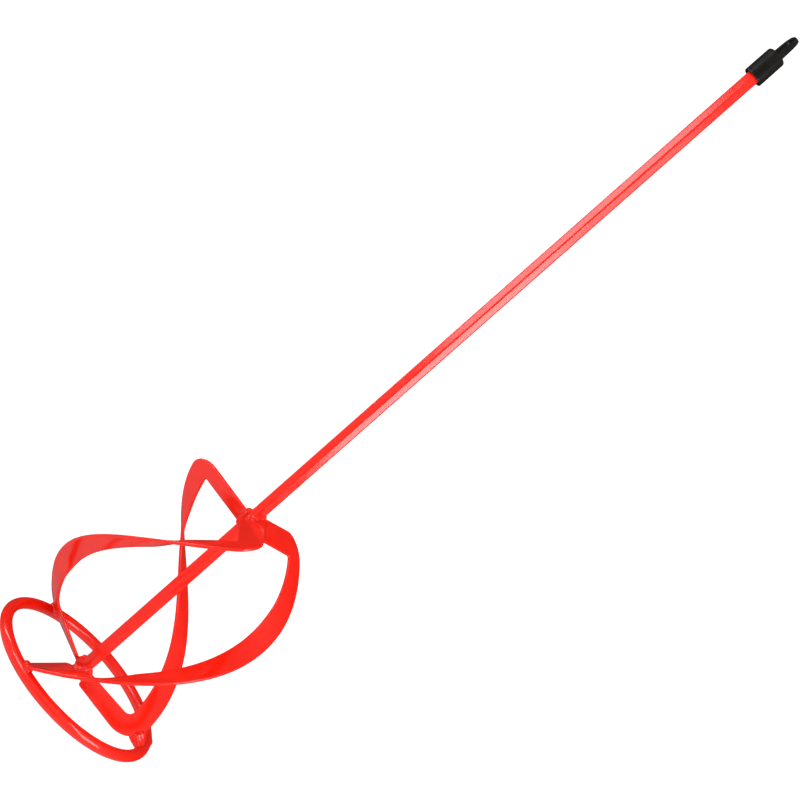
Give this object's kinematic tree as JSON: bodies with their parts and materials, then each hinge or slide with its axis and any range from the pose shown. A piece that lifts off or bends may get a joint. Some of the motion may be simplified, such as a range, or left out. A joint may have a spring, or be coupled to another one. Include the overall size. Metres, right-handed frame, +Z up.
{
  "type": "mortar mixing paddle",
  "caption": "Mixing paddle for a drill: hexagonal shank, helical steel strip blades in a basket, a round guard ring at the foot and a slip-on hanging cap.",
  "frame": {"origin": "on the shank's axis, in the plane that the guard ring rests on", "axes": "+Z up the shank from the guard ring to the cap, +X through the ring's butt joint side"},
  "size_m": [0.1235, 0.1224, 0.5514],
  "materials": {
    "red_powder_coat": "glossy red powder coat over welded steel",
    "black_plastic": "semi-gloss moulded black plastic"
  },
  "bodies": {
    "paddle": {"hex_shaft": "red_powder_coat", "base_ring": "red_powder_coat", "blade_1": "red_powder_coat", "blade_2": "red_powder_coat", "blade_3": "red_powder_coat", "upper_weld_1": "red_powder_coat", "upper_weld_2": "red_powder_coat", "upper_weld_3": "red_powder_coat", "lower_weld_1": "red_powder_coat", "lower_weld_2": "red_powder_coat", "lower_weld_3": "red_powder_coat", "ring_weld_1": "red_powder_coat", "ring_weld_2": "red_powder_coat", "ring_weld_3": "red_powder_coat", "ring_joint_weld": "red_powder_coat"},
    "cap": {"hanging_cap": "black_plastic"}
  },
  "joints": [
    {"name": "cap_pull", "type": "slide", "parent": "paddle", "child": "cap", "axis": [0, 0, 1], "range_m": [0, 0.03]}
  ]
}
